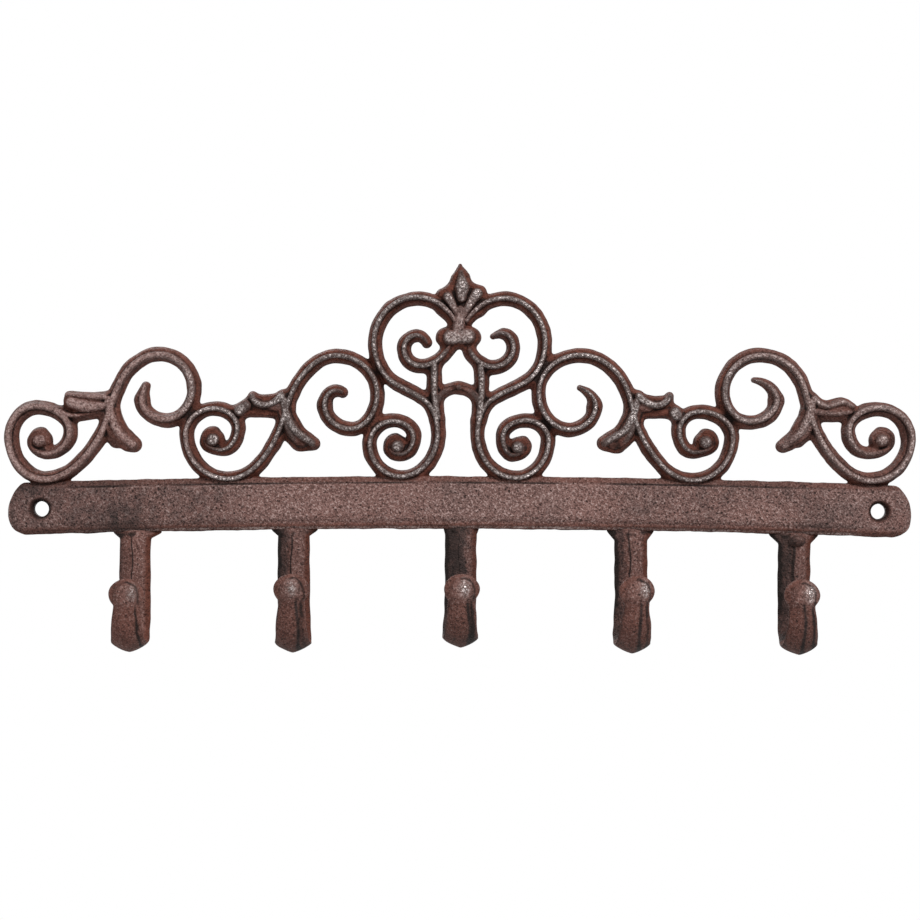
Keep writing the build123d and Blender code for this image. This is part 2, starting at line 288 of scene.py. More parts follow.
def group_tree(name, inputs, outputs):
    """A shader node group with named sockets; inputs give their default value."""
    tree = bpy.data.node_groups.new(name, "ShaderNodeTree")
    for label, kind, value in inputs:
        socket = tree.interface.new_socket(label, in_out="INPUT", socket_type=kind)
        if value is not None:
            socket.default_value = value
    for label, kind in outputs:
        tree.interface.new_socket(label, in_out="OUTPUT", socket_type=kind)
    return tree, tree.nodes.new("NodeGroupInput"), tree.nodes.new("NodeGroupOutput")


def maths(tree, operation, first, second=None, third=None, clamp=False):
    """A Math node; each operand is a socket or a number."""
    node = tree.nodes.new("ShaderNodeMath")
    node.operation, node.use_clamp = operation, clamp
    for socket, value in zip(node.inputs, (first, second, third)):
        if isinstance(value, bpy.types.NodeSocket):
            tree.links.new(value, socket)
        elif value is not None:
            socket.default_value = value
    return node.outputs[0]


def ramp(tree, value, low, high, to_low=0.0, to_high=1.0):
    """A smooth rise of a value from low to high, carried to another span."""
    node = tree.nodes.new("ShaderNodeMapRange")
    node.interpolation_type = "SMOOTHSTEP"
    tree.links.new(value, node.inputs["Value"])
    for label, number in (("From Min", low), ("From Max", high), ("To Min", to_low), ("To Max", to_high)):
        node.inputs[label].default_value = number
    return node.outputs["Result"]


def mixed(tree, factor, first, second, kind="MIX"):
    """Two colours mixed by a factor; each is a socket or a colour."""
    node = tree.nodes.new("ShaderNodeMix")
    node.data_type, node.blend_type = "RGBA", kind
    for socket, value in ((node.inputs[0], factor), (node.inputs[6], first), (node.inputs[7], second)):
        if isinstance(value, bpy.types.NodeSocket):
            tree.links.new(value, socket)
        elif isinstance(value, float):
            socket.default_value = value
        else:
            socket.default_value = (*value, 1)
    return node.outputs[2]


def noise(tree, where, scale, detail=2.0, roughness=0.5):
    """A noise texture's value at a place."""
    node = tree.nodes.new("ShaderNodeTexNoise")
    tree.links.new(where, node.inputs["Vector"])
    node.inputs["Scale"].default_value = scale
    node.inputs["Detail"].default_value = detail
    node.inputs["Roughness"].default_value = roughness
    return node.outputs["Fac"]


def sand_grain():
    """The skin that the mould's sand leaves: fine grain and pits as a height, bright and dark specks, a fine
    mottle, and patches of a few millimetres and of a few centimetres."""
    tree, given, result = group_tree(
        "sand_grain",
        [("Place", "NodeSocketVector", None)],
        [(label, "NodeSocketFloat") for label in ("Height", "Speck", "Pit", "Mottle", "Patch", "Cloud")],
    )
    place = given.outputs["Place"]
    fine = noise(tree, place, 1300, 1.0, 0.5)
    coarse = noise(tree, place, 760, 2.0, 0.6)
    pits = tree.nodes.new("ShaderNodeTexVoronoi")
    pits.feature = "F1"
    pits.inputs["Scale"].default_value = 520
    tree.links.new(place, pits.inputs["Vector"])
    pit = ramp(tree, pits.outputs["Distance"], 0.08, 0.34, 1.0, 0.0)
    chosen = maths(tree, "MULTIPLY", pit, ramp(tree, coarse, 0.42, 0.58, 1.0, 0.0))
    body = maths(tree, "ADD", maths(tree, "MULTIPLY", fine, 0.6), maths(tree, "MULTIPLY", coarse, 0.9))
    height = maths(tree, "SUBTRACT", body, maths(tree, "MULTIPLY", chosen, 0.5))
    tree.links.new(height, result.inputs["Height"])
    grains = maths(tree, "ADD", maths(tree, "MULTIPLY", fine, 0.55), maths(tree, "MULTIPLY", coarse, 0.5))
    tree.links.new(ramp(tree, grains, 0.53, 0.70), result.inputs["Speck"])
    gaps = ramp(tree, grains, 0.38, 0.52, 0.75, 0.0)
    dark = maths(tree, "ADD", maths(tree, "MULTIPLY", chosen, 0.8), gaps, clamp=True)
    tree.links.new(dark, result.inputs["Pit"])
    tree.links.new(ramp(tree, noise(tree, place, 980, 3.0, 0.65), 0.44, 0.62), result.inputs["Mottle"])
    tree.links.new(ramp(tree, noise(tree, place, 190, 3.0, 0.6), 0.34, 0.68), result.inputs["Patch"])
    tree.links.new(ramp(tree, noise(tree, place, 26, 2.0, 0.5), 0.40, 0.66), result.inputs["Cloud"])
    return tree


def antique_finish():
    """The brown finish: black in the hollows, red-brown on the flanks, dusty mauve-brown on the faces, a
    black wash on the crests with grey metal showing through it in grains, and broken black stains."""
    tree, given, result = group_tree(
        "antique_finish",
        [(label, "NodeSocketFloat", 0.0) for label in
         ("Crest", "Hollow", "Face", "Rub", "Soot", "Speck", "Pit", "Mottle", "Patch", "Cloud")],
        [("Color", "NodeSocketColor"), ("Roughness", "NodeSocketFloat"), ("Metal", "NodeSocketFloat")],
    )
    crest, hollow, face, rub, soot, speck, pit, mottle, patch, cloud = given.outputs[:10]

    def times(first, second):
        return maths(tree, "MULTIPLY", first, second)

    flank = mixed(tree, patch, (0.076, 0.023, 0.014), (0.144, 0.048, 0.032))
    mauve = mixed(tree, patch, (0.184, 0.096, 0.082), (0.226, 0.124, 0.108))
    dulled = mixed(tree, times(cloud, 0.40), mauve, (0.130, 0.084, 0.077))
    skin = mixed(tree, face, flank, dulled)
    dusted = mixed(tree, times(times(speck, face), 0.86), skin, (0.450, 0.322, 0.298))
    pitted = mixed(tree, times(pit, ramp(tree, face, 0.0, 1.0, 0.42, 0.78)), dusted, (0.024, 0.013, 0.011))
    washed = mixed(tree, times(times(face, rub), 0.88), pitted, (0.050, 0.033, 0.029))
    shown = times(ramp(tree, mottle, 0.0, 1.0, 0.12, 1.0), ramp(tree, patch, 0.0, 1.0, 0.60, 1.0))
    # Grey metal on the crests; where the crest input is a painted highlight, as on the hook heads, the rail's
    # lower lip and the blister, this paints that highlight
    bright = times(times(crest, ramp(tree, rub, 0.0, 1.0, 0.55, 1.0)), shown)
    grains = mixed(tree, rub, (0.430, 0.300, 0.275), (0.470, 0.412, 0.398))
    rubbed = mixed(tree, bright, washed, grains)
    ragged = maths(tree, "SUBTRACT", maths(tree, "ADD", patch, pit), 0.75)
    broken = maths(tree, "ADD", soot, times(ragged, 0.28))
    # Black stains; on the blister the soot input is painted shade
    amount = times(ramp(tree, broken, -0.05, 0.85, 0.0, 0.94), ramp(tree, soot, 0.0, 0.12))
    stained = mixed(tree, amount, rubbed, (0.020, 0.015, 0.014))
    # Black in the hollows, and painted shade where the hooks, the scrollwork's edges and the blister give it
    filled = mixed(tree, ramp(tree, hollow, 0.05, 0.80, 0.0, 0.94), stained, (0.010, 0.006, 0.005))
    tree.links.new(filled, result.inputs["Color"])
    tree.links.new(maths(tree, "SUBTRACT", 0.64, times(bright, 0.26)), result.inputs["Roughness"])
    tree.links.new(times(times(bright, rub), 0.6), result.inputs["Metal"])
    return tree


def attribute(tree, name):
    """A vertex attribute's value."""
    node = tree.nodes.new("ShaderNodeAttribute")
    node.attribute_name = name
    return node.outputs["Fac"]


def antique_iron():
    """Cast iron with its sand skin and the rubbed brown finish."""
    material = bpy.data.materials.new("antique_iron")
    material.use_nodes = True
    tree = material.node_tree
    shader = tree.nodes["Principled BSDF"]
    shader.inputs["Specular IOR Level"].default_value = 0.14
    where = tree.nodes.new("ShaderNodeTexCoord").outputs["Object"]
    grain = tree.nodes.new("ShaderNodeGroup")
    grain.node_tree = sand_grain()
    # Turned off the axes, so that the noise's own lattice doesn't show as streaks along the rail
    turned = tree.nodes.new("ShaderNodeMapping")
    turned.inputs["Rotation"].default_value = (0.5, 0.7, 0.3)
    tree.links.new(where, turned.inputs["Vector"])
    tree.links.new(turned.outputs["Vector"], grain.inputs["Place"])
    finish = tree.nodes.new("ShaderNodeGroup")
    finish.node_tree = antique_finish()
    for label in ("Crest", "Hollow", "Face", "Rub", "Soot"):
        tree.links.new(attribute(tree, label.lower()), finish.inputs[label])
    for label in ("Speck", "Pit", "Mottle", "Patch", "Cloud"):
        tree.links.new(grain.outputs[label], finish.inputs[label])
    bump = tree.nodes.new("ShaderNodeBump")
    bump.inputs["Strength"].default_value = 0.9
    bump.inputs["Distance"].default_value = 0.0011
    tree.links.new(grain.outputs["Height"], bump.inputs["Height"])
    tree.links.new(bump.outputs["Normal"], shader.inputs["Normal"])
    tree.links.new(finish.outputs["Color"], shader.inputs["Base Color"])
    tree.links.new(finish.outputs["Roughness"], shader.inputs["Roughness"])
    tree.links.new(finish.outputs["Metal"], shader.inputs["Metallic"])
    return material


iron = antique_iron()

# Rail: outline and heights

RAIL_BOW = 3.6
RAIL_TOP = 12.5
RAIL_BASE = -12.5
SCREW_X = 200.0
SCREW_RADIUS = 3.7
RAIL_END = ((12.5, 0.5, -11.5), (208.8, 215.4, 212.2))     # heights on its end, and how far out it is there


def rail_top(x):
    """Height of the rail's bowed upper edge."""
    return RAIL_TOP + RAIL_BOW * (1 - (x / 208.0) ** 2)


def rail_base(x):
    """Height of the rail's bowed lower edge."""
    return RAIL_BASE + RAIL_BOW * (1 - (x / 211.5) ** 2)


def make_rail():
    """The rail as a relief: inside is the rounded least of the distances from its bowed edges, its curved
    ends and the screw holes; the front has bevelled lips, a fine groove inside each and a flat panel."""
    x = np.arange(-218.4, 218.5, 0.6)
    z = np.arange(-16.0, 19.0, 0.42)
    gx, gz = np.meshgrid(x, z, indexing="ij")

    def uneven(size, seed):
        return unevenness(gx, gz, size, seed)

    under, over = rail_top(gx) - gz, gz - rail_base(gx)
    end = np.polyval(np.polyfit(*RAIL_END, 2), gz) - np.abs(gx)
    wobble = 0.16 * uneven(17, 1) + 0.08 * uneven(6, 4)
    outline = soft_min(soft_min(over, end, 6.0), under, 1.8) + wobble
    hole = np.hypot(np.abs(gx) - SCREW_X, gz) - SCREW_RADIUS
    inside = np.minimum(outline, hole)

    # Heights
    middle = 1 - step(186, 193, np.abs(gx))
    lip = 5.4 + 1.9 * step(-0.2, 2.4, soft_min(outline, end, 3.0))
    worn = 0.55 + 0.45 * uneven(60, 3)
    groove = 0.45 * (0.4 + 0.6 * worn) * band(under, 2.9, 0.6) + 0.22 * band(over, 3.4, 0.8)
    panel = 0.85 * step(2.7, 3.7, under) * step(2.8, 6.0, over)
    height = lip + middle * (panel - groove) + 0.14 * uneven(23, 2) + 0.07 * uneven(7, 3)
    height -= 3.0 * (1 - step(0.2, 2.0, hole)) ** 1.2
    height = np.clip(height, 0.5, 8.6)

    # Looks: darker lines in the grooves, darker by the holes and along the lower edge, a painted highlight
    # along the lower lip, and soot towards both ends
    upper_line = band(under, 2.9, 0.55) * np.clip(0.8 + 0.4 * uneven(47, 8), 0, 1) * middle
    lower_line = band(over, 3.5, 0.6) * np.clip(0.5 + 0.5 * uneven(53, 9), 0, 1) * middle
    # Painted highlight: a light line of grey metal along the rounded lower lip, where light catches it
    lower_lip_highlight = np.clip(band(over, 0.9, 0.55) * (0.7 + 0.4 * uneven(31, 5)), 0, 1) * middle
    darkening = 0.80 * upper_line + 0.42 * lower_line
    darkening += 0.62 * (1 - step(0.5, 2.2, hole)) + 0.5 * (1 - step(0.0, 0.7, over))
    upper_face = 0.40 + 0.60 * step(1.8, 3.4, under)
    lower_face = 0.20 + 0.80 * step(1.8, 4.6, over)
    sooty_ends = 0.38 * (1 - step(-170, -55, gx)) + 0.24 * step(40, 110, gx) - 0.06 * step(150, 185, gx)
    looks = {
        "crest": 3.2 * lower_lip_highlight,
        "hollow": np.clip(darkening, 0, 1),
        "face": upper_face * lower_face * step(1.0, 2.2, hole),
        "rub": 0.4 * lower_lip_highlight,
        "soot": sooty_ends + 0.06 + 0.10 * uneven(40, 6),
    }
    return relief("rail", x, z, inside, height, looks)


make_rail()

# Scrollwork: lines as nodes of x, z and heading, from each ring's eye outwards

bars = []


def scroll(hand, ring, loop, tip, tip_width, eye, crest=0.27, shift=0.0):
    """An S-scroll: a bar from the eye of its ring to the end of its loop, a free end, and an eye with a ball
    on it."""
    count = len(ring) + len(loop)
    width = np.full(count, BAR_WIDTH)
    width[:3] = 4.0, 4.8, 6.2
    top = np.full(count, BAR_TOP)
    top[:3] = 6.0, 6.6, 8.2
    tip_top = (BAR_TOP, *[8.4 - 0.5 * k for k in range(len(tip))])
    bars.append(bar([*ring, *loop], width, top, crest, hand, shift))
    bars.append(bar([loop[-1], *tip], tip_width, tip_top, crest, hand, shift))
    bars.append(dot(*eye, 10.6, 7.2, 0.62, hand))
    bars.append(dot(*eye, 6.6, 8.7, 0.8, hand))


def leaf(hand, *blades):
    """Blades of a leaf, each given as nodes, widths, tops and the crest's share of the width."""
    for nodes, width, top, crest in blades:
        bars.append(bar(nodes, width, top, crest, hand))


# Left end
scroll(
    1,
    [(-199.4, 37.0, -180), (-204.0, 32.4, -90), (-196.2, 26.9, 0),
     (-185.8, 37.3, 90), (-201.5, 48.6, 180), (-213.8, 34.3, 270), (-197, 14.6, 360)],
    [(-177.2, 26.5, 411), (-168.0, 43.3, 434), (-161, 62.3, 420), (-143, 74.3, 360), (-126.8, 57.3, 270),
     (-140, 42.6, 180), (-151.5, 52.3, 90)],
    [(-150, 59.2, 74)], (7.0, 4.4), (-199.6, 32.6), 0.37, -0.5,
)
leaf(
    1,
    ([(-166.8, 52, -94), (-163.6, 39.5, -68), (-155.4, 30.8, -42)], (7, 7.2, 7.4), (8.6, 8.9, 8.6), 0.50),
    ([(-166.6, 46, -88), (-163.0, 37.5, -66), (-158.2, 31.6, -45)], (9, 9, 7.6), (7.2, 7.4, 7.2), 0.85),
    ([(-184.6, 51.4, -6), (-171, 51.0, 0)], (7.6, 8), (7.3, 7.3), 0.85),
    ([(-167.6, 41, -85), (-163.8, 32.4, -52)], (7.4, 6.6), (7.6, 6.6), 0.4),
    ([(-186.8, 54.6, -4), (-180.0, 54.0, -6), (-168.5, 53.6, 4)], (3.4, 3.8, 5.4), (8.0, 8.3, 8.8), 0.45),
    ([(-184.4, 50.9, -14), (-178.4, 49.2, -8), (-169.0, 49.4, 10)], (6.4, 7.2, 4.6), (8.9, 8.9, 8.4), 0.72),
    ([(-189.6, 46.6, -28), (-183.2, 44.5, 4), (-176.5, 45.3, 8), (-169.0, 47.0, 14)],
     (5.0, 5.4, 5.4, 6), (8.4, 8.0, 7.0, 6.4), 0.34),
)
# Left middle
scroll(
    1,
    [(-117.4, 37.8, -180), (-121.6, 33.4, -90), (-113.5, 28.5, 0),
     (-105.7, 39.1, 90), (-117, 48.2, 180), (-130.3, 35.6, 270), (-110, 14.6, 360)],
    [(-94.6, 23.0, 410), (-84.6, 41.6, 433), (-76.6, 61.8, 416), (-59, 73.6, 360), (-39.4, 55.6, 270),
     (-52, 38.7, 180), (-64.4, 50.1, 90)],
    [(-59, 56.9, 0), (-56.2, 56.3, -25)], (7.0, 6.4, 5.6), (-117.4, 33.3),
)
leaf(
    1,
    ([(-83.4, 52, -94), (-80.2, 40.5, -66), (-70.2, 31.6, -42)], (7, 7.4, 7), (8.6, 8.9, 8.4), 0.45),
    ([(-83.2, 47, -88), (-79.6, 38, -66), (-74.6, 32.2, -50)], (9, 9.6, 9), (7.2, 7.4, 7.0), 0.85),
    ([(-89.5, 49.8, 0), (-86.5, 49.8, 0)], (7, 8), (7.3, 7.4), 0.85),
    ([(-83.2, 43, -82), (-80.0, 35.5, -62), (-77.2, 31.2, -60)], (6, 6.2, 6), (8.2, 8.0, 7.0), 0.42),
    ([(-98.8, 54.4, -84), (-96.4, 51.0, -34), (-91.6, 50.0, 12), (-84.6, 54.2, 46)],
     (4.6, 5.6, 5.4, 6.4), (8.4, 8.8, 8.8, 8.8), 0.5),
    ([(-97.0, 52.2, 0), (-86, 52.0, 0)], (4.6, 6.0), (5.6, 6.0), 0.4),
    ([(-98.4, 50.4, 0), (-84, 49.4, 0)], (8.5, 9), (6.6, 6.8), 0.5),
    ([(-104.8, 47.2, 35), (-101.6, 49.6, 35)], (7.6, 7.2), (8.6, 8.4), 0.62),
    ([(-102.4, 46.8, 0), (-85, 46.6, 0)], (5.4, 6), (6.0, 5.6), 0.4),
)
# Right middle, as its mirror image
scroll(
    -1,
    [(-116.6, 37.4, -180), (-121.0, 33.0, -90), (-111.5, 28.0, 0),
     (-104, 38.4, 90), (-114, 47.4, 180), (-129.5, 35.4, 270), (-111, 14.6, 360)],
    [(-95.4, 22.2, 409), (-84.2, 40.4, 430), (-77.0, 62.2, 418), (-57, 74.2, 360), (-37.3, 56.4, 270),
     (-52, 38.7, 180), (-64.2, 50.0, 90)],
    [(-57, 58.8, 24)], (7.0, 3.0), (-116.6, 32.8),
)
leaf(
    -1,
    ([(-83.6, 52, -94), (-79.6, 40.5, -66), (-68.8, 32.2, -38)], (7, 7.4, 7.4), (8.6, 8.8, 8.2), 0.45),
    ([(-83.2, 47, -88), (-79.2, 38, -64), (-73.0, 31.8, -46)], (9, 9.6, 9), (7.2, 7.4, 7.0), 0.85),
    ([(-89.5, 49.8, 0), (-86.5, 49.8, 0)], (7, 8), (7.3, 7.4), 0.85),
    ([(-83.2, 43, -80), (-79.4, 34.5, -58), (-75.6, 30.4, -54)], (6, 6.4, 6), (8.2, 8.0, 7.0), 0.42),
    ([(-99.6, 54.8, -80), (-96.8, 51.4, -34), (-92.0, 50.4, 12), (-84.6, 54.6, 46)],
     (4.4, 5.6, 5.4, 6.4), (8.4, 8.8, 8.8, 8.8), 0.5),
    ([(-97.4, 52.0, 0), (-86, 52.0, 0)], (4.6, 6.0), (5.6, 6.0), 0.4),
    ([(-97.4, 50.6, 0), (-84, 49.6, 0)], (8.0, 9), (6.4, 6.8), 0.5),
    ([(-102.8, 45.6, 60), (-102.0, 47.0, 60)], (6.6, 6.6), (8.7, 8.7), 0.74),
    ([(-102.4, 47.0, 0), (-85, 46.8, 0)], (5.6, 6), (6.0, 5.6), 0.4),
)
# Right end, as its mirror image
scroll(
    -1,
    [(-200.4, 38.4, -180), (-205.0, 34.0, -90), (-194, 28.0, 0), (-185, 38.6, 90),
     (-199, 49.0, 180), (-213.8, 34.8, 270), (-195.5, 15.1, 360)],
    [(-177.4, 25.6, 410), (-168.0, 42.6, 432), (-161.4, 64.0, 420), (-143, 74.7, 360), (-125, 56.7, 270),
     (-138, 42.3, 180), (-150.8, 53.2, 90)],
    [(-140, 62.9, 10)], (7.0, 2.8), (-200.4, 34.0), 0.33, -0.5,
)
leaf(
    -1,
    ([(-166.8, 52, -94), (-163.2, 40.2, -64), (-153.8, 31.0, -36)], (7, 7.6, 6.4), (8.6, 8.8, 8.0), 0.5),
    ([(-166.6, 46, -88), (-162.0, 37.5, -60), (-157.0, 32.4, -44)], (9, 9, 6), (7.2, 7.4, 7.0), 0.85),
    ([(-184.6, 49.0, 0), (-171, 49.2, 6)], (6.4, 7.4), (7.2, 7.2), 0.85),
    ([(-167.0, 42, -80), (-161.4, 33.6, -48)], (6, 6), (7.8, 7.0), 0.45),
    ([(-186.2, 50.0, 34), (-181.4, 52.0, 0), (-175.4, 50.2, -14), (-168.0, 53.6, 46)],
     (4.0, 5.2, 5.0, 6.0), (8.2, 8.7, 8.4, 8.8), 0.45),
    ([(-185.2, 47.4, -14), (-178.6, 46.6, 0), (-168, 47.6, 6)], (5.0, 6.0, 7), (7.8, 8.0, 8.0), 0.42),
    ([(-184.0, 45.8, 0), (-169, 46.4, 0)], (6, 7), (6.2, 5.6), 0.4),
)
# Crown: tall scrolls that run to the neck, curls inside them, struts and an arch
scroll(
    1,
    [(-30.6, 34.8, -180), (-34.2, 30.4, -90), (-28.6, 26.2, 0), (-21.8, 34.8, 90),
     (-32, 42.8, 180), (-43.2, 31.6, 270), (-28, 15.6, 360), (-10.3, 37, 450)],
    [(-17.2, 53.2, 506), (-30, 60.2, 512), (-40.6, 80, 450), (-20.5, 101.2, 360), (-8.2, 96.6, 318)],
    [(-3.0, 90.4, 298)], (7.0, 6.4), (-29.6, 30.4), 0.27, 0.4,
)
scroll(
    -1,
    [(-30.4, 33.4, -120), (-31.4, 30.6, -90), (-25.0, 26.4, 0), (-20.3, 35.0, 90),
     (-31.5, 43.0, 180), (-42, 33.6, 270), (-26.5, 15.5, 360), (-8.3, 36.4, 450)],
    [(-15.4, 53.2, 506), (-30, 60.6, 512), (-40.2, 80, 450), (-21, 101.2, 360), (-8.4, 96.6, 318)],
    [(-3.0, 90.4, 298)], (7.0, 6.4), (-27.6, 30.0),
)
bars.append(bar(
    [(-2.6, 82, 240), (-7.0, 75.4, 234), (-18.5, 68.8, 180),
     (-26.8, 77, 90), (-20.8, 83.4, 0), (-16, 80, -62)],
    (7, 7, 7, 7, 6.6, 5.2), (5.0, 8.6, 9, 9, 8.6, 7.8), 0.28,
))
bars.append(bar(
    [(-2.6, 82, 240), (-5.4, 74.6, 236), (-15.4, 68.4, 180),
     (-25.2, 77.6, 90), (-20, 84.5, 0), (-15.6, 83.2, -28)],
    (7, 7, 7, 7, 5.6, 2.8), (5.0, 8.6, 9, 9, 8.6, 7.8), 0.28, -1,
))
bars.append(bar([(-12.4, 69, 270), (-12.4, 60, 270), (-10.9, 44, 278)], 7.6, 8.8, 0.36))
bars.append(bar([(-9.8, 69, 270), (-10.2, 60, 270), (-9.0, 44, 278)], 7.4, 8.8, 0.36, -1))
bars.append(bar([(-11.8, 50, 82), (-1.2, 58.4, 0), (9.6, 50, -82)], 6.0, (8.4, 6.9, 8.4), 0.5))
bars.append(dot(-0.6, 58.6, 4.4, 7.8, 0.6))
# Finial: plate, drop, two petals on each side, neck and cross bead
leaf(
    1,
    ([(0, 98, 90), (0, 107.6, 90), (0, 112.4, 90), (-0.2, 117.0, 90)],
     (18, 12.4, 8.6, 2.2), (5.6, 5.4, 5.2, 5.0), 0.3),
    ([(0.6, 101.6, 90), (0.8, 106.4, 90), (0.2, 113.4, 90)], (5.6, 7.6, 3.0), (8.4, 8.95, 7.8), 0.80),
    ([(-0.6, 91.4, 112), (-4.0, 98.4, 116), (-6.0, 101.8, 122)], (3.4, 4.6, 5.6), (8.0, 8.6, 8.7), 0.74),
    ([(0.8, 91.4, 66), (5.0, 99.2, 62), (7.8, 103.2, 56)], (3.4, 5.0, 6.4), (8.0, 8.6, 8.8), 0.76),
    ([(-8.8, 103.4, 14), (0, 105.4, 0), (9.4, 104.6, -14)], (5.6, 8, 6.4), (5.2, 5.4, 5.2), 0.3),
    ([(0, 96, 270), (-0.4, 91, 270), (-0.8, 86, 270)], (5, 8, 9), (8.0, 8.7, 8.4), 0.6),
    ([(-4.8, 82.3, 6), (-0.8, 82.8, 0), (3.4, 83.0, -4)], (6.8, 6.2, 7.2), (8.95, 8.95, 8.95), 0.90),
    ([(-7.0, 82.8, 0), (5.0, 82.8, 0)], (9.6, 9.8), (6.0, 6.0), 0.4),
)
# The foot on which the scrolls stand, along the rail's upper edge
bars.append(bar([(-203, 10.6, 2), (0, 14.2, 0), (203, 10.6, -2)], 4.0, 5.0, 0.4))
# The scrollwork's back stands off the wall, so that it isn't in one plane with the rail's
SCROLL_BACK = 0.25


def make_scrollwork():
    """The scrollwork as a relief: flanks rise from the outline at a steep slope to a low shoulder, and the
    crests of the bars stand above it."""
    x = np.arange(-219.0, 219.1, 0.43)
    z = np.arange(4.0, 119.5, 0.43)
    gx, gz = np.meshgrid(x, z, indexing="ij")

    def uneven(size, seed):
        return unevenness(gx, gz, size, seed)

    inside, crests = lay(bars, x, z)
    inside = inside + 0.18 * uneven(15, 2) + 0.07 * uneven(5.5, 5)
    flank = soft_min(2.0 + 2.9 * np.clip(inside, -0.2, None), 5.7, 1.2)
    height = soft_max(flank, crests, 0.25) + 0.10 * uneven(8, 3) + 0.07 * uneven(3.2, 6)
    height = np.clip(height, 0.6, 8.95)

    # Looks: little rubbing on the left end and half on the right one, and polish in places along the rack
    rub = 0.08 + 0.92 * step(-150, -112, gx) - 0.50 * step(112, 150, gx)
    rub -= 0.60 * band(gx, 0, 11) * band(gz, 91, 11)
    polish_and_highlight = 0.75 * band(gx, 57, 24) + 0.65 * band(gx, -118, 17) + 0.85 * band(gx, 0, 12) * band(gz, 98, 15)
    polish_and_highlight += 0.45 * step(130, 165, np.abs(gx))
    pocket = step(0.35, 1.3, blurred(height, inside, 3) - height) * step(0.8, 1.6, inside)
    wash = (0.44 + 0.32 * rub) * band(height, 6.7, 0.45) * step(1.0, 1.8, inside)
    # Painted shade along the foot of every bar's outline, less where the finish is little rubbed
    foot = 0.34 * (1 - step(0.1, 0.9, inside)) * (0.3 + 0.7 * rub)
    end_shoulder = 0.28 * step(120, 152, np.abs(gx)) * step(0.3, 1.6, inside)
    looks = {
        "crest": (1 + polish_and_highlight) * step(7.9, 8.8, height + 0.2 * uneven(13, 7)),
        "hollow": np.clip(pocket + wash + foot, 0, 1),
        "face": np.maximum(step(6.9, 7.9, height), end_shoulder),
        "rub": rub,
        "soot": 0.14 * step(0.2, 0.8, uneven(34, 4)) * step(-140, -110, gx),
    }
    return relief("scrollwork", x, z, inside, height, looks, SCROLL_BACK)


make_scrollwork()

# Hooks: the form and the looks of each, from left to right. A flare is the root's spread to that side, a
# lean is sideways, stain_to is how far to the right the stem's stain goes, and streak is the place of a run
# on the arm. The last two numbers of the looks place the painted highlight across the head and scale it

HOOKS = (
    (
        dict(place=-155.0, turn=0.0, drop=0.0, arm=18.0, stem_half=7.5, flare_left=3.0, flare_right=5.0,
             flare_height=2.6, bend_lean=-0.4, head_lean=0.0),
        dict(stain=0.20, stain_to=-0.6, crease_half=0.05, streak=1.50, highlight_at=3.2, polish_and_highlight=0.8),
    ),
    (
        dict(place=-79.2, turn=0.0, drop=1.3, arm=20.4, stem_half=7.7, flare_left=3.1, flare_right=3.7,
             flare_height=2.6, bend_lean=0.8, head_lean=0.9),
        dict(stain=0.62, stain_to=-0.3, crease_half=0.06, streak=0.45, highlight_at=0.6, polish_and_highlight=1.0),
    ),
    (
        dict(place=0.5, turn=2.0, drop=-0.8, arm=18.0, stem_half=7.6, flare_left=0.5, flare_right=0.9,
             flare_height=2.0, bend_lean=-0.6, head_lean=-0.4),
        dict(stain=0.75, stain_to=0.30, crease_half=0.03, streak=0.50, highlight_at=1.4, polish_and_highlight=1.7),
    ),
    (
        dict(place=81.8, turn=1.5, drop=1.2, arm=20.0, stem_half=7.9, flare_left=3.8, flare_right=3.0,
             flare_height=4.2, bend_lean=-0.9, head_lean=0.3),
        dict(stain=0.55, stain_to=-0.4, crease_half=0.06, streak=0.25, highlight_at=3.4, polish_and_highlight=1.4),
    ),
    (
        dict(place=159.7, turn=0.0, drop=0.2, arm=19.0, stem_half=7.8, flare_left=4.1, flare_right=3.8,
             flare_height=4.0, bend_lean=0.2, head_lean=-0.4),
        dict(stain=0.66, stain_to=-0.2, crease_half=0.12, streak=0.08, highlight_at=3.6, polish_and_highlight=2.6),
    ),
)
STEM_DEPTH = 4.4
BEND_RADIUS = 12.9
BEND_HEIGHT = -51.4
HEAD_RADIUS = 7.3


def tube(rings, tip):
    """Points and faces of a tube from its rings of points: a face over its first ring, quads between rings
    and triangles from the last ring to a tip."""
    count, around = rings.shape[:2]
    k = np.arange(around)
    after = (k + 1) % around
    r = np.arange(count - 1)[:, None] * around
    quads = np.stack([r + k, r + around + k, r + around + after, r + after], -1).reshape(-1, 4)
    last = (count - 1) * around
    fan = np.stack([last + k, np.full(around, count * around), last + after], 1)
    return np.concatenate([rings.reshape(-1, 3), tip[None]]), quads.tolist() + fan.tolist() + [k.tolist()]


def make_tube(name, rings, looks):
    """A piece from rings of points and the looks on them; the last ring closes to a tip."""
    verts, faces = tube(rings[:-1], rings[-1].mean(0))
    values = {
        look: np.append(np.broadcast_to(value, rings.shape[:2])[:-1].ravel(), value[-1, 0])
        for look, value in looks.items()
    }
    return make_piece(name, verts, faces, None, values)


